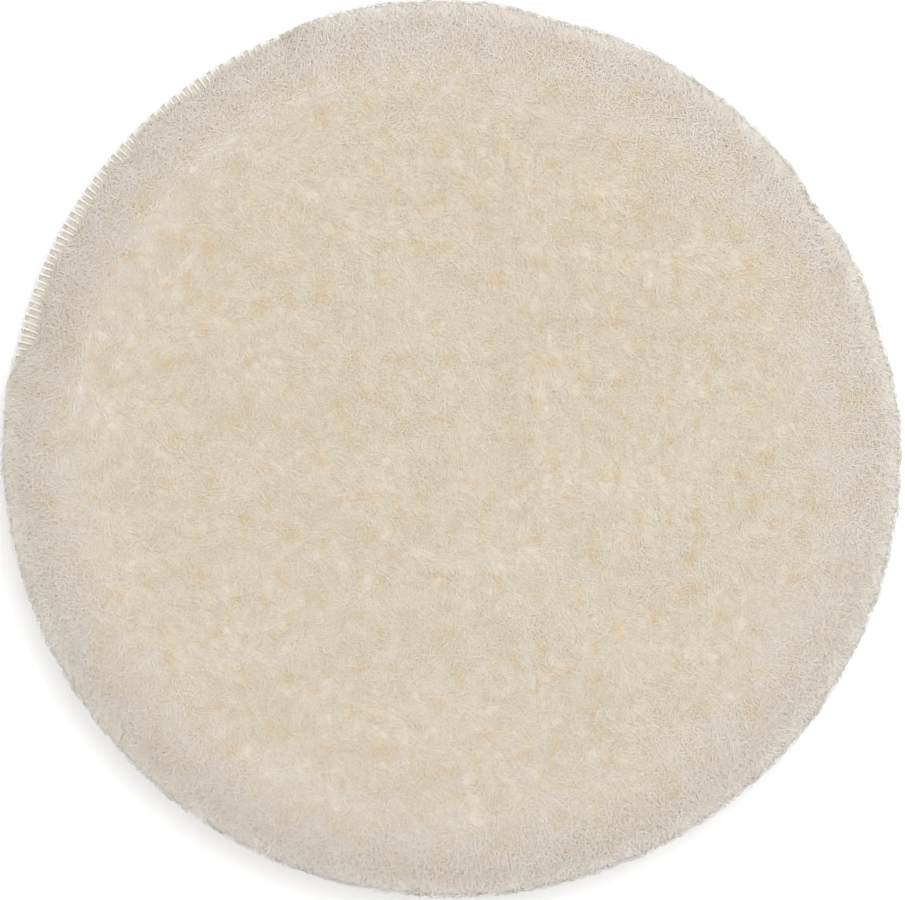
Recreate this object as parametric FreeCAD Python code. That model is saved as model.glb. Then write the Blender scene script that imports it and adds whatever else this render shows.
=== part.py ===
import FreeCAD, Part
import math
import os

from FreeCAD import Vector

# Hook-and-loop lambswool polishing pad for a rotary polisher.
# It lies loop side down: Z is the spin axis, +Z points out of the wool face, and Z = 0 is the
# loop face that grips the machine's backing plate. All sizes are in millimetres.

# ---- driving dimensions -------------------------------------------------------------------
PAD_DIAMETER = 180.0

# The layers, from the loop face up to the sheared tips of the wool.
NAP_HEIGHT = 1.0          # upstanding nylon loops
GROUND_THICKNESS = 0.5    # knitted cloth that the loops are worked into
FILM_THICKNESS = 0.2      # hot-melt film that laminates the cloth to the skin
HIDE_THICKNESS = 1.8      # tanned lambskin
PILE_HEIGHT = 16.5        # sheared wool on the skin

# The three-thread overlock seam that binds the rim.
STITCH_COUNT = 198
LOOPER_THREAD_DIAMETER = 0.50
NEEDLE_THREAD_DIAMETER = 0.25
NEEDLE_LINE_INSET = 3.1   # from the cut edge of the skin to the line of needle holes
THREAD_GAP = 0.02         # between a thread and whatever it lies against
LOOP_REACH = 0.25         # how far each looper's edge loop passes the middle of the rim

# The wool.
CROWN_WIDTH = 16.0        # the rounded edge of the wool, from its widest point in to the sheared face
SEAM_HEADROOM = 0.3       # between the seam's threads and the soft solids beside them

# Modelling settings.
SEWING_TOLERANCE = 1e-4
MITRED = 1                # a pipe shell's transition mode at the corners of its path

# ---- levels and radii that follow from them -----------------------------------------------
Z_GROUND = NAP_HEIGHT
Z_FILM = Z_GROUND + GROUND_THICKNESS
Z_HIDE = Z_FILM + FILM_THICKNESS
Z_SKIN_TOP = Z_HIDE + HIDE_THICKNESS
Z_TOP = Z_SKIN_TOP + PILE_HEIGHT
Z_RIM_MIDDLE = (Z_GROUND + Z_SKIN_TOP) / 2

PAD_RADIUS = PAD_DIAMETER / 2
LOOPER_RADIUS = LOOPER_THREAD_DIAMETER / 2
NEEDLE_RADIUS = NEEDLE_THREAD_DIAMETER / 2
UPPER_EDGE_RADIUS = PAD_RADIUS - LOOPER_RADIUS
LOWER_EDGE_RADIUS = UPPER_EDGE_RADIUS - LOOPER_THREAD_DIAMETER - THREAD_GAP
SKIN_RADIUS = LOWER_EDGE_RADIUS - LOOPER_RADIUS - THREAD_GAP
NEEDLE_LINE_RADIUS = SKIN_RADIUS - NEEDLE_LINE_INSET

# The needle thread's two strands stand this far each side of the needle line, so that the
# lower looper's inner turn passes between them.
STRAND_OFFSET = LOOPER_RADIUS + NEEDLE_RADIUS + THREAD_GAP
UPPER_TURN_RADIUS = NEEDLE_LINE_RADIUS - STRAND_OFFSET - NEEDLE_RADIUS - LOOPER_RADIUS - THREAD_GAP

Z_UPPER_LEG = Z_SKIN_TOP + THREAD_GAP + LOOPER_RADIUS
Z_LOWER_LEG = Z_GROUND - THREAD_GAP - LOOPER_RADIUS
Z_NEEDLE_SPAN = Z_UPPER_LEG + LOOPER_RADIUS + THREAD_GAP + NEEDLE_RADIUS
Z_NEEDLE_LOOP = Z_LOWER_LEG - LOOPER_RADIUS - THREAD_GAP - NEEDLE_RADIUS

STITCH_ANGLE = 2 * math.pi / STITCH_COUNT
LEG_ANGLE = STITCH_ANGLE / 4   # a looper's two legs stand this far each side of its needle hole

PILE_ROOT_RADIUS = UPPER_TURN_RADIUS - LOOPER_RADIUS - SEAM_HEADROOM
NAP_RADIUS = NEEDLE_LINE_RADIUS - STRAND_OFFSET - NEEDLE_RADIUS - SEAM_HEADROOM

ORIGIN = Vector(0, 0, 0)
UP = Vector(0, 0, 1)


def polar(radius, angle, z):
    return Vector(radius * math.cos(angle), radius * math.sin(angle), z)


# ---- flat layers --------------------------------------------------------------------------
def needle_slit(angle, z):
    """The outline of one needle puncture: a slit that lies along the radius, as the pull draws it."""
    half_length = STRAND_OFFSET + NEEDLE_RADIUS + THREAD_GAP
    half_width = NEEDLE_RADIUS + THREAD_GAP
    middle = polar(NEEDLE_LINE_RADIUS, angle, z)
    along = polar(half_length, angle, 0)
    across = polar(half_width, angle + math.pi / 2, 0)
    corners = [along + across, across - along, along * -1 - across, along - across]
    return Part.makePolygon([middle + corner for corner in corners + corners[:1]])


def stitched_disc(radius, bottom, thickness):
    """A disc of sheet material with a puncture for every stitch of the rim seam."""
    outline = Part.Wire(Part.Circle(Vector(0, 0, bottom), UP, radius).toShape())
    slits = [needle_slit(i * STITCH_ANGLE, bottom) for i in range(STITCH_COUNT)]
    face = Part.makeFace([outline] + slits, "Part::FaceMakerBullseye")
    return face.extrude(UP * thickness)


def loop_nap():
    """The upstanding loops as one soft disc, stopping short of the seam, which flattens them."""
    return Part.makeCylinder(NAP_RADIUS, NAP_HEIGHT, ORIGIN, UP)


# ---- wool ---------------------------------------------------------------------------------
def wool_pile():
    """The wool as one soft solid: rooted inside the seam, flaring over it, sheared flat on top."""
    z_flare = Z_NEEDLE_SPAN + NEEDLE_RADIUS + SEAM_HEADROOM
    flare_radius = PAD_RADIUS - PILE_ROOT_RADIUS
    flare_reach = flare_radius * math.sqrt(0.5)
    z_widest = z_flare + flare_radius
    root_centre = Vector(0, 0, Z_SKIN_TOP)
    root_edge = Vector(PILE_ROOT_RADIUS, 0, Z_SKIN_TOP)
    flare_start = Vector(PILE_ROOT_RADIUS, 0, z_flare)
    flare_middle = Vector(PILE_ROOT_RADIUS + flare_reach, 0, z_widest - flare_reach)
    widest = Vector(PAD_RADIUS, 0, z_widest)
    crown_centre = Vector(PAD_RADIUS - CROWN_WIDTH, 0, z_widest)
    face_edge = Vector(PAD_RADIUS - CROWN_WIDTH, 0, Z_TOP)
    face_centre = Vector(0, 0, Z_TOP)
    edges = [
        Part.LineSegment(root_centre, root_edge),
        Part.LineSegment(root_edge, flare_start),
        Part.Arc(flare_start, flare_middle, widest),
        Part.ArcOfEllipse(Part.Ellipse(widest, face_edge, crown_centre), 0, math.pi / 2),
        Part.LineSegment(face_edge, face_centre),
        Part.LineSegment(face_centre, root_centre),
    ]
    outline = Part.Wire([edge.toShape() for edge in edges])
    return Part.Face(outline).revolve(ORIGIN, UP, 360)


# ---- threads ------------------------------------------------------------------------------
def seam_thread(stitch_corners, radius):
    """One thread round the whole rim: the same stitch at every needle slit, joined end to end.

    stitch_corners holds the (radius, angle, z) corners of one stitch about its needle slit. The
    thread runs straight from corner to corner and is mitred there, and one stitch starts and
    ends in the middle of the run that joins it to its neighbours.
    """
    last_radius, last_angle, last_z = stitch_corners[-1]
    first_radius, first_angle, first_z = stitch_corners[0]
    corners = [polar(*corner) for corner in stitch_corners]
    corner_before = polar(last_radius, last_angle - STITCH_ANGLE, last_z)
    corner_after = polar(first_radius, first_angle + STITCH_ANGLE, first_z)
    start_point = (corner_before + corners[0]) * 0.5
    end_point = (corners[-1] + corner_after) * 0.5
    path = Part.makePolygon([start_point, *corners, end_point])

    first = path.Edges[0]
    start = first.valueAt(first.FirstParameter)
    along = first.tangentAt(first.FirstParameter)
    section = Part.Wire(Part.Circle(start, along, radius).toShape())
    stitch = path.makePipeShell([section], False, False, MITRED)

    skins = []
    for i in range(STITCH_COUNT):
        for face in stitch.Faces:
            skin = face.copy()
            skin.rotate(ORIGIN, UP, math.degrees(i * STITCH_ANGLE))
            skins.append(skin)
    sewn = Part.makeCompound(skins)
    sewn.sewShape(SEWING_TOLERANCE)
    solid = Part.Solid(sewn.Shells[0])
    if solid.Volume < 0:
        solid.reverse()
    expected = STITCH_COUNT * path.Length * math.pi * radius**2
    print("thread length", round(STITCH_COUNT * path.Length), "mm, volume over section times length",
          round(solid.Volume / expected, 4))
    return solid


def needle_thread():
    """Spans the top of the skin from hole to hole and drops a loop through each hole."""
    outer = NEEDLE_LINE_RADIUS + STRAND_OFFSET
    inner = NEEDLE_LINE_RADIUS - STRAND_OFFSET
    corners = [
        (outer, 0, Z_NEEDLE_SPAN),
        (outer, 0, Z_NEEDLE_LOOP),
        (inner, 0, Z_NEEDLE_LOOP),
        (inner, 0, Z_NEEDLE_SPAN),
    ]
    return seam_thread(corners, NEEDLE_RADIUS)


def looper_thread(edge_radius, turn_radius, z_leg, z_edge):
    """Runs in from the rim, round the needle thread and back out, then round the cut edge."""
    corners = [
        (edge_radius, -LEG_ANGLE, z_edge),
        (edge_radius, -LEG_ANGLE, z_leg),
        (turn_radius, -LEG_ANGLE, z_leg),
        (turn_radius, LEG_ANGLE, z_leg),
        (edge_radius, LEG_ANGLE, z_leg),
        (edge_radius, LEG_ANGLE, z_edge),
    ]
    return seam_thread(corners, LOOPER_RADIUS)


def upper_looper_thread():
    """Lies on the skin under the needle thread's spans, and hooks down over the rim."""
    return looper_thread(
        UPPER_EDGE_RADIUS, UPPER_TURN_RADIUS, Z_UPPER_LEG, Z_RIM_MIDDLE - LOOP_REACH
    )


def lower_looper_thread():
    """Lies under the cloth through the needle thread's loops, and hooks up inside the upper."""
    return looper_thread(
        LOWER_EDGE_RADIUS, NEEDLE_LINE_RADIUS, Z_LOWER_LEG, Z_RIM_MIDDLE + LOOP_REACH
    )


# ---- the assembly -------------------------------------------------------------------------
NODES = {
    "loop_nap": loop_nap,
    "loop_ground_cloth": lambda: stitched_disc(SKIN_RADIUS, Z_GROUND, GROUND_THICKNESS),
    "adhesive_film": lambda: stitched_disc(SKIN_RADIUS, Z_FILM, FILM_THICKNESS),
    "hide": lambda: stitched_disc(SKIN_RADIUS, Z_HIDE, HIDE_THICKNESS),
    "wool_pile": wool_pile,
    "needle_thread": needle_thread,
    "upper_looper_thread": upper_looper_thread,
    "lower_looper_thread": lower_looper_thread,
}


def main():
    os.makedirs("parts", exist_ok=True)
    for name, make in NODES.items():
        shape = make()
        if not shape.isValid():
            raise ValueError(f"{name} is not a valid solid")
        shape.exportStep(f"parts/{name}.step")
        print(name, "solids", len(shape.Solids), "volume", round(shape.Volume, 1), "mm3")


main()
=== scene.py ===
import itertools
import math

import bpy
import numpy as np
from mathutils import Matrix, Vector


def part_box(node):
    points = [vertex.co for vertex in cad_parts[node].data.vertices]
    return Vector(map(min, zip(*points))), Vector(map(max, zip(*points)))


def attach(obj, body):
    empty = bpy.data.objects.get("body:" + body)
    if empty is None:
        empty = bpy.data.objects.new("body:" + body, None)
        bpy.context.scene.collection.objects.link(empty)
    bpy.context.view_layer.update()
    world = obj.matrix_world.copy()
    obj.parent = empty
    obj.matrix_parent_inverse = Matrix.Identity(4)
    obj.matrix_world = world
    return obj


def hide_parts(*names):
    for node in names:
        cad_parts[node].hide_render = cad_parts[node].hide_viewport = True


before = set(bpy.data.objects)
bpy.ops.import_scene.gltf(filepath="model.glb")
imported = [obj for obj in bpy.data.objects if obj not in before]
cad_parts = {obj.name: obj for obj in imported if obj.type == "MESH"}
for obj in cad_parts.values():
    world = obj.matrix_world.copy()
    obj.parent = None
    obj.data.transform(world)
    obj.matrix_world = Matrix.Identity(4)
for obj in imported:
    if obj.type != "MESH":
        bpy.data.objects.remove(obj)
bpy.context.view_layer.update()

# A lambswool polishing pad that lies loop side down with its wool face up. Lengths are in
# millimetres until a mesh is made, which is in metres.
MM = 0.001
TAU = 2 * math.pi
random = np.random.default_rng(7)


def box_mm(node):
    low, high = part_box(node)
    return np.array(low) / MM, np.array(high) / MM


# ---- sizes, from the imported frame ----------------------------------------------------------
wool_low, wool_high = box_mm("wool_pile")
hide_low, hide_high = box_mm("hide")
film_low, film_high = box_mm("adhesive_film")
cloth_low, cloth_high = box_mm("loop_ground_cloth")
nap_low, nap_high = box_mm("loop_nap")
needle_low, needle_high = box_mm("needle_thread")
upper_low, upper_high = box_mm("upper_looper_thread")
lower_low, lower_high = box_mm("lower_looper_thread")

PAD_RADIUS = wool_high[0]
Z_TOP = wool_high[2]
Z_SKIN = wool_low[2]
HIDE_RADIUS = hide_high[0]
NAP_RADIUS = nap_high[0]

# The seam's threads.
LOOPER_RADIUS = 0.25
NEEDLE_RADIUS = 0.125
THREAD_GAP = 0.02
STRAND_OFFSET = LOOPER_RADIUS + NEEDLE_RADIUS + THREAD_GAP   # of the needle's strands from their line
STITCH_COUNT = 198
STITCH_ANGLE = TAU / STITCH_COUNT

# The wool: flat out to FACE_RADIUS, rounded over the crown, widest at Z_WIDEST, then flaring in.
CROWN_WIDTH = 16.0
ROOT_RADIUS = 84.5
FACE_RADIUS = PAD_RADIUS - CROWN_WIDTH
FLARE = PAD_RADIUS - ROOT_RADIUS
Z_WIDEST = needle_high[2] + 0.3 + FLARE
Z_FOOT = needle_high[2] + 0.25   # the lowest edge of the wool, where it stands back from the seam

TRIANGLES_PER_PIECE = 199000


# ---- noise ---------------------------------------------------------------------------------
def smoothstep(low, high, x):
    x = np.clip((x - low) / (high - low), 0, 1)
    return x * x * (3 - 2 * x)


def scrambled(whole, seed):
    """A number from 0 to 2**32 for each point of three whole coordinates, with no pattern."""
    n = (whole @ np.array([73856093, 19349663, 83492791]) + seed * 2654435761) & 0xFFFFFFFF
    n = ((n ^ (n >> 15)) * 0x2C1B3C6D) & 0xFFFFFFFF
    n = ((n ^ (n >> 12)) * 0x297A2D39) & 0xFFFFFFFF
    return n ^ (n >> 15)


def noise(points, cell, seed):
    """Smooth noise from -1 to 1 over points of two or three coordinates."""
    points = np.asarray(points, float) / cell
    if points.shape[-1] == 2:
        points = np.concatenate([points, np.full(points.shape[:-1] + (1,), 0.5)], axis=-1)
    base = np.floor(points).astype(np.int64)
    part = points - base
    part = part * part * (3 - 2 * part)
    total = np.zeros(points.shape[:-1])
    for corner in itertools.product((0, 1), repeat=3):
        weight = np.prod(np.where(corner, part, 1 - part), axis=-1)
        total += weight * scrambled(base + corner, seed)
    return total / 0x7FFFFFFF - 1


# ---- the pad's outline ---------------------------------------------------------------------
def cut(azimuth):
    """How far the hand-cut outline strays from a circle, as a factor on the radius."""
    two = 0.0077 * np.cos(2 * (azimuth + math.radians(39.6)))
    three = 0.0039 * np.cos(3 * (azimuth + math.radians(5.5)))
    return 1 + two + three


def cut_points(points):
    """Points of a round pad moved to the hand-cut outline."""
    points = np.array(points, float)
    points[..., :2] *= cut(np.arctan2(points[..., 1], points[..., 0]))[..., None]
    return points


# Where the wool stands back and bares the seam: the middle and half width in degrees, the depth
# in millimetres, and how much of that depth comes and goes in tufts.
BARE_SPANS = [
    (127, 13, 2.9, 0.7),
    (151, 9.5, 3.3, 0.3),
    (163, 3, 4.0, 0.15),
    (15.5, 1.5, 1.0, 0),
    (33.3, 2.0, 1.4, 0),
    (75.7, 1.5, 1.0, 0),
]
# The wool's edge is at its lowest within LOW_HALF degrees of LOW_MIDDLE, and level again at LOW_END.
LOW_MIDDLE = 140
LOW_HALF = 25
LOW_END = 42


def recess(azimuth):
    """How far the wool stands back from the rim, in millimetres."""
    degrees = np.degrees(azimuth) % 360
    ring = np.stack([np.cos(azimuth), np.sin(azimuth)], axis=-1)
    tufts = 0.5 + 0.5 * np.sin(degrees * 0.72) * np.cos(degrees * 0.23)
    depth = np.zeros_like(degrees)
    for middle, half, deep, tufted in BARE_SPANS:
        away = np.abs((degrees - middle + 180) % 360 - 180)
        span = 1 - smoothstep(half - 2, half + 5, away)
        depth = np.maximum(depth, deep * span * (1 - tufted * tufts))
    return depth * (1 + 0.22 * noise(ring, 0.05, 4)) + 0.25 * noise(ring, 0.045, 3)


def lowered(azimuth):
    """How far the wool's edge comes down towards the skin, from 0 to 1, along the bared seam."""
    return 1 - smoothstep(LOW_HALF, LOW_END, np.abs(np.degrees(azimuth) % 360 - LOW_MIDDLE))


# ---- the wool's surface --------------------------------------------------------------------
# Normals, as their outward and upward parts, where the wool comes down to the bared seam: on its
# slope, and where strands are spilt over the seam.
SLOPE_NORMAL = (0.5, 0.87)
SPILT_NORMAL = (0.3, 0.95)
SPILL_RATE = 0.9         # how far a spilt strand goes outwards for each millimetre of its length
SPILL_FALL = 0.35        # and how far down
SPILL_CLEARANCE = 0.45   # above the skin


def wool_path():
    """Rows of t, radius, z and the outward normal along the wool, from mid-face to its root."""
    rise = Z_TOP - Z_WIDEST
    turn = np.linspace(0, math.pi / 2, 80)
    cosine = np.cos(turn)
    sine = np.sin(turn)
    crown_normal = np.stack([sine / CROWN_WIDTH, cosine / rise])
    crown_normal /= np.hypot(*crown_normal)
    crown = [FACE_RADIUS + CROWN_WIDTH * sine, Z_WIDEST + rise * cosine, *crown_normal]
    flare = [ROOT_RADIUS + FLARE * cosine, Z_WIDEST - FLARE * sine, cosine, -sine]
    centre = np.array([[0.0, Z_TOP, 0.0, 1.0]])
    root = np.array([[ROOT_RADIUS - 1.2, Z_SKIN, 0.0, -1.0]])
    rows = np.concatenate([centre, np.array(crown).T, np.array(flare).T[1:], root])
    steps = np.hypot(np.diff(rows[:, 0]), np.diff(rows[:, 1]))
    return np.concatenate([[0], np.cumsum(steps)]), rows


PATH, PATH_ROWS = wool_path()
PATH_END = PATH[-1]
PATH_WIDEST = PATH[np.argmax(PATH_ROWS[:, 0])]


def moved_to(value, goal, share):
    return value + (goal - value) * share


def lift(flat, out, spilt=0.0):
    """Flat points (the wool's surface unrolled about mid-face) set on the surface, with its normals.

    out is the height above the surface. Over the bared seam, wool that is spilt runs on outwards
    past the edge and doesn't tuck under.
    """
    t = np.hypot(flat[..., 0], flat[..., 1])
    azimuth = np.arctan2(flat[..., 1], flat[..., 0])
    radius, z, outward, upward = [np.interp(t, PATH, PATH_ROWS[:, k]) for k in range(4)]
    on_crown = t < PATH_WIDEST

    # The wool stands back from the rim.
    back = recess(azimuth)
    crown = FACE_RADIUS + (radius - FACE_RADIUS) * (1 - back / CROWN_WIDTH)
    flare = ROOT_RADIUS + (radius - ROOT_RADIUS) * (1 - back / FLARE)
    radius = np.where(t < FACE_RADIUS, radius, np.where(on_crown, crown, flare))

    # Along the bared seam it slopes down to its foot.
    low = lowered(azimuth)
    sunk = (Z_WIDEST - Z_FOOT) * low
    reach = np.clip((radius - FACE_RADIUS) / (CROWN_WIDTH - back), 0, 1)
    sloped = Z_TOP - (Z_TOP - Z_WIDEST + sunk) * reach**1.3
    tucked = Z_SKIN + (z - Z_SKIN) * (1 - sunk / (Z_WIDEST - Z_SKIN))
    z = np.where(on_crown, moved_to(z, sloped, low), tucked)
    edge = 1 - (1 - spilt) * smoothstep(PATH_WIDEST - 2.5, PATH_WIDEST, t)
    leant = low * smoothstep(FACE_RADIUS, FACE_RADIUS + 6, t) * np.where(on_crown, edge, 0)
    outward = moved_to(outward, SLOPE_NORMAL[0], leant)
    upward = moved_to(upward, SLOPE_NORMAL[1], leant)

    # Spilt wool goes on over the seam.
    past = t - PATH_WIDEST
    spill = spilt * smoothstep(0.35, 0.8, low) * (past > 0)
    radius = moved_to(radius, PAD_RADIUS - back + SPILL_RATE * past, spill)
    z = moved_to(z, np.maximum(Z_FOOT - SPILL_FALL * past, Z_SKIN + SPILL_CLEARANCE), spill)
    outward = moved_to(outward, SPILT_NORMAL[0], spill)
    upward = moved_to(upward, SPILT_NORMAL[1], spill)

    radius = (radius + out * outward) * cut(azimuth)
    cosine = np.cos(azimuth)
    sine = np.sin(azimuth)
    points = np.stack([radius * cosine, radius * sine, z + out * upward], axis=-1)
    normals = np.stack([outward * cosine, outward * sine, upward], axis=-1)
    return points, normals


def room_to_spill(azimuth):
    """The most that a strand's length may pass the wool's edge and stay within the rim."""
    return np.maximum(recess(azimuth) + 0.1, 0) / SPILL_RATE


def relief(flat):
    """The shallow lumps and partings of the sheared wool, in millimetres."""
    rim = smoothstep(FACE_RADIUS - 6, PATH_WIDEST - 6, np.hypot(flat[..., 0], flat[..., 1]))
    lumps = 0.18 * noise(flat, 10, 11) + (0.10 + 0.22 * rim) * noise(flat, 4.2, 12)
    parting = np.exp(-(noise(flat, 7, 13) / 0.10) ** 2) * smoothstep(0.05, 0.5, noise(flat, 15, 14))
    return lumps - 0.35 * parting


# ---- meshes --------------------------------------------------------------------------------
def make_mesh(name, points, faces, material, normals=None):
    """A smooth mesh from points in millimetres and a list of arrays of same-sized faces."""
    mesh = bpy.data.meshes.new(name)
    corners = np.concatenate([block.ravel() for block in faces]).astype(np.int32)
    sizes = np.concatenate([np.full(len(block), block.shape[1]) for block in faces])
    mesh.vertices.add(len(points))
    mesh.vertices.foreach_set("co", (np.asarray(points) * MM).astype(np.float32).ravel())
    mesh.loops.add(len(corners))
    mesh.loops.foreach_set("vertex_index", corners)
    mesh.polygons.add(len(sizes))
    mesh.polygons.foreach_set("loop_start", (np.cumsum(sizes) - sizes).astype(np.int32))
    mesh.update(calc_edges=True)
    mesh.shade_smooth()
    if normals is not None:
        mesh.normals_split_custom_set_from_vertices(normals.tolist())
    mesh.materials.append(material)
    piece = bpy.data.objects.new(name, mesh)
    bpy.context.scene.collection.objects.link(piece)
    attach(piece, "root")
    return piece


def stands_for(cad_node):
    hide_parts(cad_node)


def disc_grid(cells):
    """A square grid pulled to a unit disc: its points, its quads and its outline's indices."""
    line = np.linspace(-1, 1, cells + 1)
    x, y = np.meshgrid(line, line)
    reach = np.maximum(np.abs(x), np.abs(y))
    wide = np.abs(x) >= np.abs(y)
    with np.errstate(divide="ignore", invalid="ignore"):
        angle = np.where(wide, math.pi / 4 * y / x, math.pi / 2 - math.pi / 4 * x / y)
        angle = angle + np.where(np.where(wide, x, y) < 0, math.pi, 0)
    angle = np.where(reach == 0, 0, angle)
    disc = np.stack([reach * np.cos(angle), reach * np.sin(angle)], axis=-1).reshape(-1, 2)
    index = np.arange((cells + 1) ** 2).reshape(cells + 1, cells + 1)
    quads = np.stack([index[:-1, :-1], index[:-1, 1:], index[1:, 1:], index[1:, :-1]], axis=-1)
    quads = quads.reshape(-1, 4)
    outline = np.concatenate([index[0, :-1], index[:-1, -1], index[-1, :0:-1], index[:0:-1, 0]])
    return disc, quads, outline


def tube_mesh(name, points, normals, radii, material, softness=None):
    """Closed three-sided tubes, one for each row of points, with a flat side outwards.

    normals says which way is out at each point. With a softness, the shading leans that much from
    each tube's own form towards the normals.
    """
    sides = 3
    count, rings = points.shape[:2]
    along = np.gradient(points, axis=1)
    along /= np.linalg.norm(along, axis=-1, keepdims=True) + 1e-9
    side = np.cross(along, normals)
    side /= np.linalg.norm(side, axis=-1, keepdims=True) + 1e-9
    over = np.cross(side, along)
    turn = np.arange(sides) * TAU / sides - math.pi / 2
    spread = np.cos(turn)[:, None] * side[:, :, None] + np.sin(turn)[:, None] * over[:, :, None]
    shell = points[:, :, None] + radii[:, :, None, None] * spread
    index = np.arange(count * rings * sides).reshape(count, rings, sides)
    here = index[:, :-1]
    there = index[:, 1:]
    walls = np.stack([here, there, np.roll(there, -1, 2), np.roll(here, -1, 2)], axis=-1).reshape(-1, 4)
    ends = np.concatenate([index[:, 0], index[:, -1, ::-1]])
    shading = None
    if softness is not None:
        shading = softness * normals[:, :, None] + (1 - softness) * spread
        shading = (shading / np.linalg.norm(shading, axis=-1, keepdims=True)).reshape(-1, 3)
    return make_mesh(name, shell.reshape(-1, 3), [walls, ends], material, shading)


# ---- materials -----------------------------------------------------------------------------
def new_material(name, roughness, sheen=0.0, specular=0.3):
    material = bpy.data.materials.new(name)
    material.use_nodes = True
    tree = material.node_tree
    shader = tree.nodes["Principled BSDF"]
    shader.inputs["Roughness"].default_value = roughness
    shader.inputs["Sheen Weight"].default_value = sheen
    shader.inputs["Specular IOR Level"].default_value = specular
    return material, tree, shader


def node(tree, kind, **settings):
    made = tree.nodes.new(kind)
    for key, value in settings.items():
        if key in made.inputs:
            made.inputs[key].default_value = value
        else:
            setattr(made, key, value)
    return made


def object_noise(tree, scale, detail=2.0):
    """The output of a noise texture over the object's own coordinates, in metres."""
    place = node(tree, "ShaderNodeTexCoord")
    texture = node(tree, "ShaderNodeTexNoise", Scale=scale, Detail=detail)
    tree.links.new(place.outputs["Object"], texture.inputs["Vector"])
    return texture.outputs["Fac"]


def mapped(tree, value, from_low, from_high, to_low=0.0, to_high=1.0):
    made = node(tree, "ShaderNodeMapRange")
    made.inputs["From Min"].default_value = from_low
    made.inputs["From Max"].default_value = from_high
    made.inputs["To Min"].default_value = to_low
    made.inputs["To Max"].default_value = to_high
    tree.links.new(value, made.inputs["Value"])
    return made.outputs["Result"]


def blended(tree, share, first, second):
    """A colour between two, which are colours or outputs."""
    made = node(tree, "ShaderNodeMix", data_type="RGBA")
    tree.links.new(share, made.inputs["Factor"])
    for name, colour in (("A", first), ("B", second)):
        socket = [s for s in made.inputs if s.name == name and s.type == "RGBA"][0]
        if hasattr(colour, "links"):
            tree.links.new(colour, socket)
        else:
            socket.default_value = (*colour, 1)
    return [s for s in made.outputs if s.type == "RGBA"][0]


def wool_material(name, warm, pale, rim, tan, by_strand):
    """Cream wool: warm and pale patches, tan streaks that are partly the wool's own tan and partly painted
    shade in its crevices, and painted light that makes it paler and greyer towards the rim. Scales are in
    metres.
    """
    material, tree, shader = new_material(name, roughness=0.9, sheen=0.15, specular=0.15)
    place = node(tree, "ShaderNodeTexCoord")
    patches = mapped(tree, object_noise(tree, 330), 0.36, 0.64)
    colour = blended(tree, patches, warm, pale)
    drift = mapped(tree, object_noise(tree, 45, 1.0), 0.35, 0.65, 0, 0.5)
    colour = blended(tree, drift, colour, pale)
    axes = node(tree, "ShaderNodeSeparateXYZ")
    tree.links.new(place.outputs["Object"], axes.inputs["Vector"])
    warmer = mapped(tree, axes.outputs["Y"], -0.04, 0.07, 0, 0.14)
    colour = blended(tree, warmer, colour, tan)
    # Tan streaks: partly the wool's own tan, partly painted shade in the crevices between its curls.
    tan_and_crevice_shade = mapped(tree, object_noise(tree, 260, 5.0), 0.54, 0.74)
    colour = blended(tree, tan_and_crevice_shade, colour, tan)
    level = node(tree, "ShaderNodeVectorMath", operation="MULTIPLY")
    level.inputs[1].default_value = (1, 1, 0)
    length = node(tree, "ShaderNodeVectorMath", operation="LENGTH")
    tree.links.new(place.outputs["Object"], level.inputs[0])
    tree.links.new(level.outputs["Vector"], length.inputs[0])
    # Painted light: towards the rim the colour goes over to the paler, greyer rim colour, standing in for
    # the light from the sides that falls on the rim; the tufts make the edge of that band uneven.
    tufts = mapped(tree, object_noise(tree, 150), 0.38, 0.62, -0.006, 0.006)
    uneven = node(tree, "ShaderNodeMath", operation="ADD")
    tree.links.new(length.outputs["Value"], uneven.inputs[0])
    tree.links.new(tufts, uneven.inputs[1])
    edge = mapped(tree, uneven.outputs["Value"], 0.066, 0.088)
    colour = blended(tree, edge, colour, rim)
    if by_strand:
        geometry = node(tree, "ShaderNodeNewGeometry")
        tint = mapped(tree, geometry.outputs["Random Per Island"], 0, 1, 0, 0.45)
        colour = blended(tree, tint, colour, tan)
    tree.links.new(colour, shader.inputs["Base Color"])
    return material


def mottled_material(name, dark, light, scale, roughness, bump=0.0, sheen=0.0):
    material, tree, shader = new_material(name, roughness, sheen)
    fleck = object_noise(tree, scale, 4.0)
    colour = blended(tree, mapped(tree, fleck, 0.35, 0.65), dark, light)
    tree.links.new(colour, shader.inputs["Base Color"])
    if bump:
        made = node(tree, "ShaderNodeBump", Strength=bump, Distance=0.0002)
        tree.links.new(fleck, made.inputs["Height"])
        tree.links.new(made.outputs["Normal"], shader.inputs["Normal"])
    return material


def thread_material(name, dark, light):
    """Spun thread: the plies wind round it, along the piece's own UV map."""
    material, tree, shader = new_material(name, roughness=0.6, sheen=0.1)
    place = node(tree, "ShaderNodeTexCoord")
    wave = node(tree, "ShaderNodeTexWave", Scale=1.0, Distortion=0.6, bands_direction="DIAGONAL")
    tree.links.new(place.outputs["UV"], wave.inputs["Vector"])
    tree.links.new(blended(tree, wave.outputs["Fac"], dark, light), shader.inputs["Base Color"])
    made = node(tree, "ShaderNodeBump", Strength=0.5, Distance=0.00008)
    tree.links.new(wave.outputs["Fac"], made.inputs["Height"])
    tree.links.new(made.outputs["Normal"], shader.inputs["Normal"])
    return material


# ---- wool ----------------------------------------------------------------------------------
WOOL_WARM = (0.79, 0.69, 0.548)
WOOL_PALE = (0.80, 0.733, 0.635)
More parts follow.
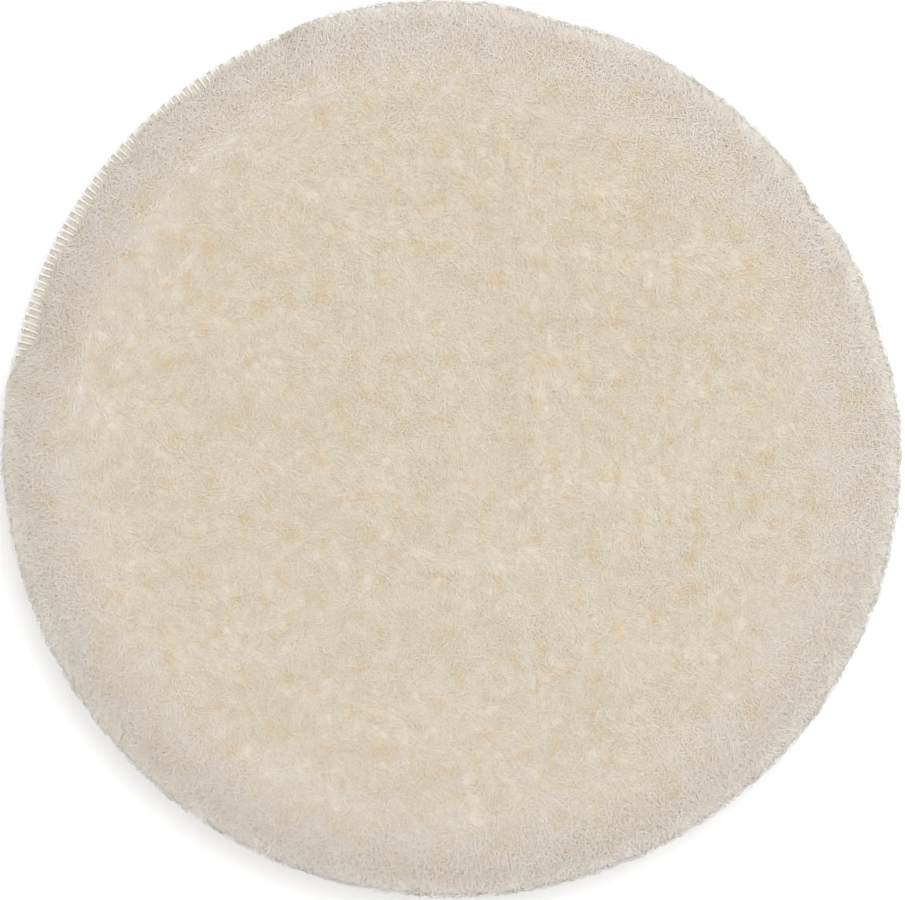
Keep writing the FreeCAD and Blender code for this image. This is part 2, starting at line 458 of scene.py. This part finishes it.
# The rim colour is painted light: paler and greyer than the face, standing in for the light from the
# room's sides that falls on the rim.
WOOL_RIM_PAINTED_LIGHT = (0.815, 0.775, 0.715)
WOOL_TAN = (0.78, 0.633, 0.434)
SHADED = 0.845   # the fleece is this much darker, because it lies in the strands' shade
STRAND_COLOURS = [WOOL_WARM, WOOL_PALE, WOOL_RIM_PAINTED_LIGHT, WOOL_TAN]
FLEECE_COLOURS = [tuple(SHADED * part for part in colour) for colour in STRAND_COLOURS]
fleece_wool = wool_material("fleece_wool", *FLEECE_COLOURS, by_strand=False)
strand_wool = wool_material("strand_wool", *STRAND_COLOURS, by_strand=True)


def fleece():
    """The dense body of the wool, just under the tips: a closed form with an uneven surface."""
    disc, quads, outline = disc_grid(310)
    flat = disc * PATH_END
    t = np.hypot(*flat.T)
    fine = 0.07 * noise(flat, 1.9, 21) * (1 - smoothstep(FACE_RADIUS, PATH_WIDEST, t) * 0.5)
    inset = 0.68 + 0.37 * smoothstep(FACE_RADIUS, PATH_WIDEST, t)
    fade = 1 - smoothstep(PATH_WIDEST, PATH_END, t)
    points, _ = lift(flat, (relief(flat) + fine - inset) * fade)
    points = np.concatenate([points, [[0, 0, Z_SKIN]]])
    middle = len(points) - 1
    fan = np.stack([outline, np.full(len(outline), middle), np.roll(outline, -1)], axis=-1)
    piece = make_mesh("wool_fleece", points, [quads, fan], fleece_wool)
    stands_for("wool_pile")


def spread_points(count, from_t, to_t):
    """Evenly spread flat points in a ring, jittered, with no rows."""
    i = np.arange(count)
    t = np.sqrt(from_t**2 + (to_t**2 - from_t**2) * (i + 0.5) / count)
    azimuth = i * math.pi * (3 - math.sqrt(5))
    flat = np.stack([t * np.cos(azimuth), t * np.sin(azimuth)], axis=-1)
    return flat + random.normal(0, 0.25, flat.shape)


def turned_strands(roots, heading, curl, lengths, segments):
    """Rows of flat points that start at the roots and turn steadily by curl radians in all."""
    share = np.linspace(0, 1, segments + 1)[:-1]
    heading = heading[:, None] + curl[:, None] * share
    steps = np.stack([np.cos(heading), np.sin(heading)], axis=-1) * (lengths / segments)[:, None, None]
    start = np.zeros((len(roots), 1, 2))
    return roots[:, None] + np.concatenate([start, np.cumsum(steps, axis=1)], axis=1)


def strand_pieces(name, points, normals, radii, softness):
    """Rows of strands, shared out over pieces that aren't too heavy."""
    triangles = 6 * (points.shape[1] - 1) + 2
    per_piece = TRIANGLES_PER_PIECE // triangles
    for k, first in enumerate(range(0, len(points), per_piece)):
        rows = slice(first, first + per_piece)
        piece = tube_mesh(
            f"{name}_{k}", points[rows], normals[rows], radii[rows], strand_wool, softness
        )
        stands_for("wool_pile")


def wool_strands(name, roots, heading, curl, lengths, depth, crest, drop, thickness, segments, softness):
    """Strands that come up out of the fleece, lie along its surface and dip at their tips."""
    flat = turned_strands(roots, heading, curl, lengths, segments)
    t = np.hypot(flat[..., 0], flat[..., 1])
    share = np.linspace(0, 1, segments + 1)
    rise = (depth + crest)[:, None] * smoothstep(0, 0.55, share)
    height = -depth + rise - drop[:, None] * share**2
    out = relief(flat) * (1 - smoothstep(PATH_WIDEST - 6, PATH_WIDEST, t)) + height
    points, normals = lift(flat, out, spilt=1.0)
    radii = thickness[:, None] * (1 - 0.6 * share**2)
    strand_pieces(name, points, normals, radii, softness)


def face_curls(count=88000):
    """The short curls of the sheared face. They swirl together and lean out near the rim.

    Where the swirl and the lean cancel out, the curls point all ways.
    """
    roots = spread_points(count, 0, 86)
    swirl = math.pi * (0.8 * noise(roots, 15, 31) + 0.2 * noise(roots, 5, 32))
    outward = np.arctan2(roots[:, 1], roots[:, 0])
    lean = smoothstep(60, 84, np.hypot(*roots.T))
    x = (1 - lean) * np.cos(swirl) + 1.2 * lean * np.cos(outward)
    y = (1 - lean) * np.sin(swirl) + 1.2 * lean * np.sin(outward)
    unsettled = 1 + 2 * np.exp(-(np.hypot(x, y) / 0.4) ** 2)
    heading = np.arctan2(y, x) + random.normal(0, 1.0, count) * unsettled
    curl = 0.8 * noise(roots, 3.2, 33) + random.normal(0, 0.9, count)
    wool_strands(
        "wool_curls", roots, heading, curl,
        lengths=np.clip(random.normal(3.0, 0.8, count), 1.3, 5.5) * (1 + 0.5 * lean),
        depth=0.75,
        crest=random.uniform(-0.40, -0.0, count),
        drop=random.uniform(0, 0.3, count),
        thickness=random.uniform(0.035, 0.06, count),
        segments=3,
        softness=0.8,
    )


def rim_locks(count=24000):
    """The longer wool at the rim, which leans outwards and droops over the edge."""
    roots = spread_points(count, 72, 101)
    outward = np.arctan2(roots[:, 1], roots[:, 0])
    t = np.hypot(*roots.T)
    heading = outward + 0.6 * noise(roots, 4.5, 41) + random.normal(0, 0.28, count)
    curl = 0.9 * noise(roots, 3.0, 42) + random.normal(0, 0.4, count)
    lengths = np.clip(random.normal(5.2, 1.1, count), 2.5, 8.0)
    lengths = np.minimum(lengths, np.maximum(PATH_END + 1.5 - t, 1.5))
    spill = np.minimum(random.uniform(0.1, 1.0, count), room_to_spill(outward))
    to_edge = PATH_WIDEST + spill - t
    lengths = np.where(lowered(outward) > 0.35, np.minimum(lengths, to_edge), lengths)
    kept = lengths > 0.8
    count = np.count_nonzero(kept)
    wool_strands(
        "wool_locks", roots[kept], heading[kept], curl[kept],
        lengths=lengths[kept],
        depth=1.0,
        crest=random.uniform(-0.75, -0.05, count),
        drop=random.uniform(0.0, 0.5, count),
        thickness=random.uniform(0.035, 0.055, count),
        segments=5,
        softness=0.68,
    )


def rim_skirt(count=9000):
    """The lowest wool, which hangs out of the flare over the seam in short bowed hairs."""
    azimuth = random.uniform(0, TAU, count)
    azimuth = azimuth[recess(azimuth) < 0.9]
    count = len(azimuth)

    # Each hair's start, bowed middle and end, as radius and z.
    turn = np.arccos(random.uniform(0.12, 0.95, count))
    start_radius = ROOT_RADIUS + (FLARE - 0.8) * np.cos(turn)
    start_z = Z_WIDEST - FLARE * np.sin(turn) + 0.4
    end_radius = start_radius + random.uniform(0.8, 3.5, count)
    end_radius = np.minimum(end_radius, PAD_RADIUS + random.uniform(-0.6, 0.2, count))
    end_z = np.maximum(start_z - random.uniform(0.8, 3.6, count), Z_SKIN + 0.4)
    start = np.stack([start_radius, start_z], axis=-1)
    end = np.stack([end_radius, end_z], axis=-1)
    bulge = np.stack([random.uniform(0.2, 0.9, count), random.uniform(0.1, 0.6, count)], axis=-1)
    middle = 0.5 * (start + end) + bulge

    share = np.linspace(0, 1, 5)
    along = share[:, None]
    start, middle, end = start[:, None], middle[:, None], end[:, None]
    bow = (1 - along) ** 2 * start + 2 * along * (1 - along) * middle + along**2 * end
    sway = random.normal(0, 0.012, count) + 0.01 * np.sin(azimuth * 40)
    swing = azimuth[:, None] + sway[:, None] * share
    flat = np.stack([np.cos(swing), np.sin(swing)], axis=-1)
    points = cut_points(np.concatenate([bow[..., :1] * flat, bow[..., 1:]], axis=-1))
    normals = np.concatenate([0.9 * flat, np.full(flat.shape[:2] + (1,), 0.43)], axis=-1)
    radii = random.uniform(0.04, 0.065, count)[:, None] * (1 - 0.6 * share**2)
    strand_pieces("wool_skirt", points, normals, radii, softness=0.6)


def seam_fuzz(count=2600):
    """Fine wool that strays from the edge of the pile over the bared seam and softens it."""
    azimuth = np.radians(random.uniform(108, 172, count))
    t = PATH_WIDEST - random.uniform(0, 9, count)
    roots = np.stack([t * np.cos(azimuth), t * np.sin(azimuth)], axis=-1)
    tufts = noise(roots, 3.0, 45)
    spill = random.uniform(0.0, 1.3, count) * (1 + 0.8 * tufts)
    to_edge = PATH_WIDEST + np.minimum(spill, room_to_spill(azimuth)) - t
    wool_strands(
        "wool_fuzz", roots, azimuth + 0.8 * tufts + random.normal(0, 0.5, count),
        curl=0.6 * noise(roots, 2.4, 46) + random.normal(0, 0.4, count),
        lengths=np.minimum(np.maximum(to_edge, 0.7), random.uniform(3, 6, count)),
        depth=0.8,
        crest=random.uniform(-0.5, 0.0, count),
        drop=random.uniform(0, 0.3, count),
        thickness=random.uniform(0.03, 0.05, count),
        segments=5,
        softness=0.8,
    )


# ---- seam ----------------------------------------------------------------------------------
# How far each stitch strays along the rim, in radians, and in or out, in millimetres.
stitch_random = np.random.default_rng(19)
stitch_shift = stitch_random.normal(0, 0.05, STITCH_COUNT) * STITCH_ANGLE
stitch_pull = stitch_random.normal(0, 0.12, STITCH_COUNT)


def eased(points, reach):
    """The closed path with every corner rounded."""
    before = np.roll(points, 1, 0) - points
    after = np.roll(points, -1, 0) - points
    before_length = np.linalg.norm(before, axis=-1, keepdims=True)
    after_length = np.linalg.norm(after, axis=-1, keepdims=True)
    first = points + before / before_length * np.minimum(reach, 0.45 * before_length)
    second = points + after / after_length * np.minimum(reach, 0.45 * after_length)
    path = np.stack([first, second], axis=1).reshape(-1, 3)
    following = np.roll(path, -1, 0)
    pairs = [0.75 * path + 0.25 * following, 0.25 * path + 0.75 * following]
    return np.stack(pairs, axis=1).reshape(-1, 3)


def carried_frames(points, along):
    """A side vector at each point of a closed path, carried round without twist and closed up."""
    side = np.zeros_like(points)
    current = np.cross(along[0], (0.3, 0.2, 0.93))   # any direction that the thread doesn't take
    current /= np.linalg.norm(current)
    count = len(points)
    for i in range(count):
        current = current - along[i] * (current @ along[i])
        current /= np.linalg.norm(current)
        side[i] = current
    last = side[-1] - along[0] * (side[-1] @ along[0])
    over = np.cross(along[0], side[0])
    twist = math.atan2(last @ over, last @ side[0])
    angle = -twist * np.arange(count) / count
    across = np.cross(along, side)
    return side * np.cos(angle)[:, None] + across * np.sin(angle)[:, None]


def seam_thread(name, cad_node, corners, radius, reach, sides, material):
    """A thread sewn round the rim. corners are the (radius, angle, z, pulled) corners of a stitch.

    reach is how far its corners are rounded, and pulled is 1 where a stitch strays and 0 elsewhere.
    """
    stitch = np.arange(STITCH_COUNT)
    rows = []
    for level, angle, z, pulled in corners:
        azimuth = stitch * STITCH_ANGLE + angle + stitch_shift * pulled
        r = level + stitch_pull * pulled
        heights = np.full(STITCH_COUNT, z)
        rows.append(np.stack([r * np.cos(azimuth), r * np.sin(azimuth), heights], axis=-1))
    path = eased(cut_points(np.stack(rows, axis=1).reshape(-1, 3)), reach)
    along = np.roll(path, -1, 0) - np.roll(path, 1, 0)
    along /= np.linalg.norm(along, axis=-1, keepdims=True)
    side = carried_frames(path, along)
    over = np.cross(along, side)
    turn = np.arange(sides) * TAU / sides
    spread = np.cos(turn)[:, None] * side[:, None] + np.sin(turn)[:, None] * over[:, None]
    count = len(path)
    index = np.arange(count * sides).reshape(count, sides)
    there = np.roll(index, -1, 0)
    walls = np.stack([index, np.roll(index, -1, 1), np.roll(there, -1, 1), there], axis=-1)
    shell = path[:, None] + radius * spread
    piece = make_mesh(name, shell.reshape(-1, 3), [walls.reshape(-1, 4)], material)

    # The UV map: the length along the thread, and once round it.
    steps = np.linalg.norm(np.roll(path, -1, 0) - path, axis=-1)
    start = np.cumsum(steps) - steps
    end = start + steps
    left = np.arange(sides) / sides
    right = left + 1 / sides
    corner_u = np.stack([start, start, end, end], axis=-1)[:, None].repeat(sides, 1)
    corner_v = np.stack([left, right, right, left], axis=-1)[None].repeat(count, 0)
    corner_uv = np.stack([corner_u * 0.9, corner_v], axis=-1)
    layer = piece.data.uv_layers.new(name="thread")
    layer.data.foreach_set("uv", corner_uv.astype(np.float32).ravel())
    stands_for(cad_node)


def looper_corners(edge, turn, z_leg, z_edge):
    """In from the rim, round the needle thread and back out, then round the cut edge."""
    leg = STITCH_ANGLE / 4
    return [
        (edge, -leg, z_edge, 0),
        (edge, -leg, z_leg, 0),
        (turn, -leg, z_leg, 1),
        (turn, leg, z_leg, 1),
        (edge, leg, z_leg, 0),
        (edge, leg, z_edge, 0),
    ]


def seam():
    """The three threads of the overlock."""
    looper = thread_material("looper_thread", (0.72, 0.70, 0.65), (0.86, 0.84, 0.79))
    needle = thread_material("needle_thread", (0.68, 0.66, 0.60), (0.82, 0.80, 0.75))
    needle_line = needle_high[0] - STRAND_OFFSET - NEEDLE_RADIUS
    upper_turn = needle_line - STRAND_OFFSET - NEEDLE_RADIUS - LOOPER_RADIUS - THREAD_GAP
    z_upper = upper_high[2] - LOOPER_RADIUS
    z_lower = lower_low[2] + LOOPER_RADIUS
    seam_thread(
        "upper_looper", "upper_looper_thread",
        looper_corners(upper_high[0] - LOOPER_RADIUS, upper_turn, z_upper, upper_low[2] + LOOPER_RADIUS),
        LOOPER_RADIUS, 0.3, 8, looper,
    )
    seam_thread(
        "lower_looper", "lower_looper_thread",
        looper_corners(lower_high[0] - LOOPER_RADIUS, needle_line, z_lower, lower_high[2] - LOOPER_RADIUS),
        LOOPER_RADIUS, 0.3, 8, looper,
    )
    z_span = needle_high[2] - NEEDLE_RADIUS
    z_loop = needle_low[2] + NEEDLE_RADIUS
    outer = needle_line + STRAND_OFFSET
    inner = needle_line - STRAND_OFFSET
    corners = [(outer, 0, z_span, 1), (outer, 0, z_loop, 1), (inner, 0, z_loop, 1), (inner, 0, z_span, 1)]
    seam_thread("needle_stitches", "needle_thread", corners, NEEDLE_RADIUS, 0.2, 6, needle)


# ---- layers under the wool -----------------------------------------------------------------
def layer_disc(name, cad_node, radius, low, high, material, ragged, swell):
    """A cut disc of sheet material with a rounded rim and a slightly uneven cut and top."""
    rounding = min(0.35 * (high - low), 0.3)
    near = 1 - 2 * rounding / radius
    nearer = 1 - 0.4 * rounding / radius
    bevel = 0.3 * rounding
    under = [(0.35, low), (0.7, low), (0.93, low)]
    under += [(near, low), (nearer, low + bevel), (1, low + rounding)]
    over = [(1, high - rounding), (nearer, high - bevel), (near, high)]
    over += [(0.93, high), (0.7, high), (0.35, high)]
    segments = 900
    azimuth = np.arange(segments) * TAU / segments
    unit = np.stack([np.cos(azimuth), np.sin(azimuth)], axis=-1)
    trim = radius - ragged * (0.5 + 0.5 * noise(unit * radius, 2.4, 51))
    rows = []
    for share, z in under + over:
        rows.append(np.concatenate([unit * (trim * share)[:, None], np.full((segments, 1), z)], axis=-1))
    points = np.concatenate([*rows, [[0, 0, low], [0, 0, high]]])
    top = points[:, 2] > high - 1e-6
    points[top, 2] += swell * noise(points[top], 3.1, 52)

    index = np.arange(len(rows) * segments).reshape(len(rows), segments)
    here = index[:-1]
    there = index[1:]
    walls = np.stack([here, np.roll(here, -1, 1), np.roll(there, -1, 1), there], axis=-1).reshape(-1, 4)
    low_middle = np.full(segments, len(points) - 2)
    high_middle = np.full(segments, len(points) - 1)
    low_fan = np.stack([np.roll(index[0], -1), index[0], low_middle], axis=-1)
    high_fan = np.stack([index[-1], np.roll(index[-1], -1), high_middle], axis=-1)
    fans = np.concatenate([low_fan, high_fan])
    piece = make_mesh(name, cut_points(points), [walls, fans], material)
    stands_for(cad_node)
    return piece


def loop_mat(nylon):
    """The tangle that the loops stand in: flat against the cloth, uneven below."""
    disc, quads, outline = disc_grid(200)
    depth = nap_high[2] - nap_low[2]
    flat = disc * (NAP_RADIUS - 0.3)
    rim = smoothstep(NAP_RADIUS - 1.5, NAP_RADIUS - 0.3, np.hypot(*flat.T))
    under = nap_low[2] + depth * (0.50 + 0.12 * noise(flat, 1.7, 61) + 0.3 * rim)
    lower = np.concatenate([flat, under[:, None]], axis=-1)
    upper = np.concatenate([flat, np.full((len(flat), 1), nap_high[2])], axis=-1)
    count = len(flat)
    onwards = np.roll(outline, -1)
    walls = np.stack([outline, onwards, onwards + count, outline + count], axis=-1)
    points = cut_points(np.concatenate([lower, upper]))
    return make_mesh("loop_mat", points, [quads[:, ::-1], quads + count, walls], nylon)


def loop_fringe(nylon, loops=6000):
    """Single loops that stand out of the mat, down towards the backing plate."""
    depth = nap_high[2] - nap_low[2]
    feet = spread_points(loops, 0, NAP_RADIUS - 1.2)
    heading = random.uniform(0, TAU, loops)
    lean = random.normal(0, 0.25, (loops, 2))
    rings = 6
    bow = np.linspace(0, math.pi, rings)
    width = random.uniform(0.35, 0.6, loops)
    drop = depth * random.uniform(0.80, 0.93, loops)
    direction = np.stack([np.cos(heading), np.sin(heading)], axis=-1)
    across = direction[:, None] * (width[:, None] * np.cos(bow))[..., None]
    flat = feet[:, None] + (across + lean[:, None] * np.sin(bow)[None, :, None])
    z = nap_high[2] - 0.05 - (drop - 0.05)[:, None] * np.sin(bow)
    points = cut_points(np.concatenate([flat, z[..., None]], axis=-1))
    normals = np.stack([-np.sin(heading), np.cos(heading), np.zeros(loops)], axis=-1)
    normals = normals[:, None].repeat(rings, 1)
    return tube_mesh("loop_fringe", points, normals, np.full((loops, rings), 0.06), nylon)


def napped_cloth():
    """The loop side: the loops, and the knitted cloth that they are worked into."""
    nylon = mottled_material("nylon_loop", (0.70, 0.69, 0.66), (0.86, 0.85, 0.82), 900, 0.55, sheen=0.2)
    for piece in (loop_mat(nylon), loop_fringe(nylon)):
        stands_for("loop_nap")
    knit = mottled_material(
        "nylon_knit", (0.68, 0.67, 0.64), (0.84, 0.83, 0.80), 700, 0.7, bump=0.5, sheen=0.1
    )
    cloth = layer_disc(
        "loop_cloth", "loop_ground_cloth", HIDE_RADIUS, cloth_low[2], cloth_high[2],
        knit, ragged=0.15, swell=0,
    )


def layers():
    suede = mottled_material(
        "lambskin", (0.60, 0.54, 0.43), (0.72, 0.66, 0.55), 500, 0.85, bump=0.6, sheen=0.1
    )
    melt = mottled_material("hot_melt", (0.62, 0.56, 0.44), (0.74, 0.69, 0.58), 350, 0.35)
    layer_disc(
        "skin", "hide", HIDE_RADIUS + 0.25, hide_low[2], hide_high[2],
        suede, ragged=0.35, swell=0.06,
    )
    layer_disc(
        "film", "adhesive_film", HIDE_RADIUS - 0.15, film_low[2], film_high[2],
        melt, ragged=0.3, swell=0,
    )
    napped_cloth()


# ---- room ----------------------------------------------------------------------------------
def floor():
    half = 3
    corners = [(-half, -half, 0), (half, -half, 0), (half, half, 0), (-half, half, 0)]
    mesh = bpy.data.meshes.new("floor")
    mesh.from_pydata(corners, [], [(0, 1, 2, 3)])
    material, _, shader = new_material("floor", roughness=0.8, specular=0.1)
    shader.inputs["Base Color"].default_value = (0.95, 0.95, 0.95, 1)
    mesh.materials.append(material)
    ground = bpy.data.objects.new("floor", mesh)
    bpy.context.scene.collection.objects.link(ground)


def light():
    """A bright white room and one broad soft lamp, up and to the right."""
    scene = bpy.context.scene
    scene.view_settings.view_transform = "Standard"
    scene.world = bpy.data.worlds.new("studio")
    scene.world.use_nodes = True
    sky = scene.world.node_tree.nodes["Background"]
    sky.inputs["Color"].default_value = (1, 1, 1, 1)
    sky.inputs["Strength"].default_value = 1.10
    lamp = bpy.data.lights.new("key", "AREA")
    lamp.shape = "DISK"
    lamp.size = 0.6
    lamp.energy = 3.2
    key = bpy.data.objects.new("key", lamp)
    key.location = (0.27, 0.36, 0.95)
    key.rotation_mode = "QUATERNION"
    key.rotation_quaternion = (Vector((0, 0, 0)) - key.location).to_track_quat("-Z", "Y")
    scene.collection.objects.link(key)


def camera():
    """Straight down, nearly centred, with the pad filling the picture."""
    lens = bpy.data.cameras.new("camera")
    lens.sensor_width = 36
    lens.lens = 120
    picture_width = 180.7 * MM   # at the pad's widest level
    distance = picture_width * lens.lens / lens.sensor_width
    eye = bpy.data.objects.new("camera", lens)
    eye.location = (0.5 * MM, -0.14 * MM, Z_WIDEST * MM + distance)
    bpy.context.scene.collection.objects.link(eye)
    bpy.context.scene.camera = eye


floor()
light()
camera()
layers()
seam()
fleece()
face_curls()
rim_locks()
rim_skirt()
seam_fuzz()
